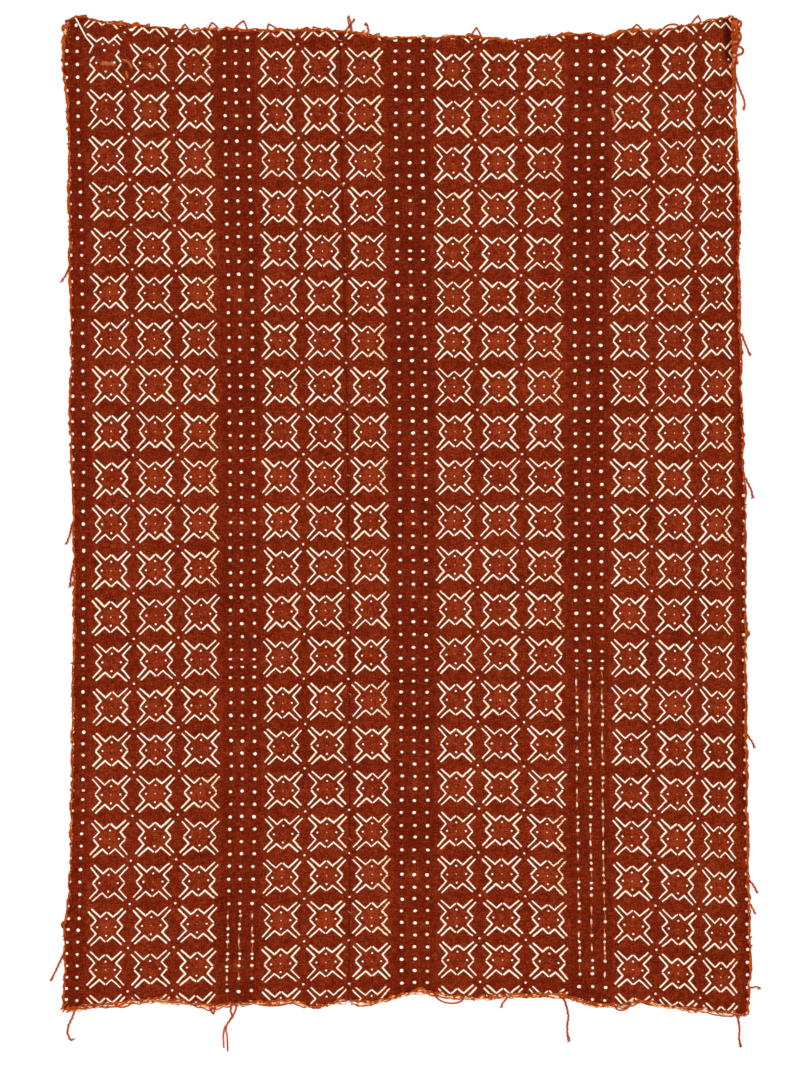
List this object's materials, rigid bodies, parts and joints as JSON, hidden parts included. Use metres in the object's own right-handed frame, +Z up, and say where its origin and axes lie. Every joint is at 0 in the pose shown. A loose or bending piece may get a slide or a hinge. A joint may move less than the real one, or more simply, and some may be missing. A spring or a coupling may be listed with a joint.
{
  "type": "bogolan mud cloth",
  "caption": "Rust brown bogolan mud cloth laid flat, sewn from hand-woven cotton panels, with cream stars and dot bands, rolled raw ends and frayed edges.",
  "frame": {"origin": "under the middle of the whole outline, on the surface the cloth lies on", "axes": "+Y towards the top end of the cloth as pictured, +X across it to the right, +Z up out of its painted face"},
  "size_m": [1.0784, 1.5784, 0.0083],
  "materials": {
    "painted_cloth": "matte plain weave, mud dyed, with cream motifs",
    "loose_yarn": "matte hand-spun cotton yarn"
  },
  "bodies": {
    "root": {"panel_left": "painted_cloth", "panel_right": "painted_cloth", "rolled_end_top_left": "loose_yarn", "rolled_end_top_right": "loose_yarn", "rolled_end_bottom_left": "loose_yarn", "rolled_end_bottom_right": "loose_yarn", "selvedge_left": "loose_yarn", "selvedge_right": "loose_yarn"}
  },
  "joints": []
}
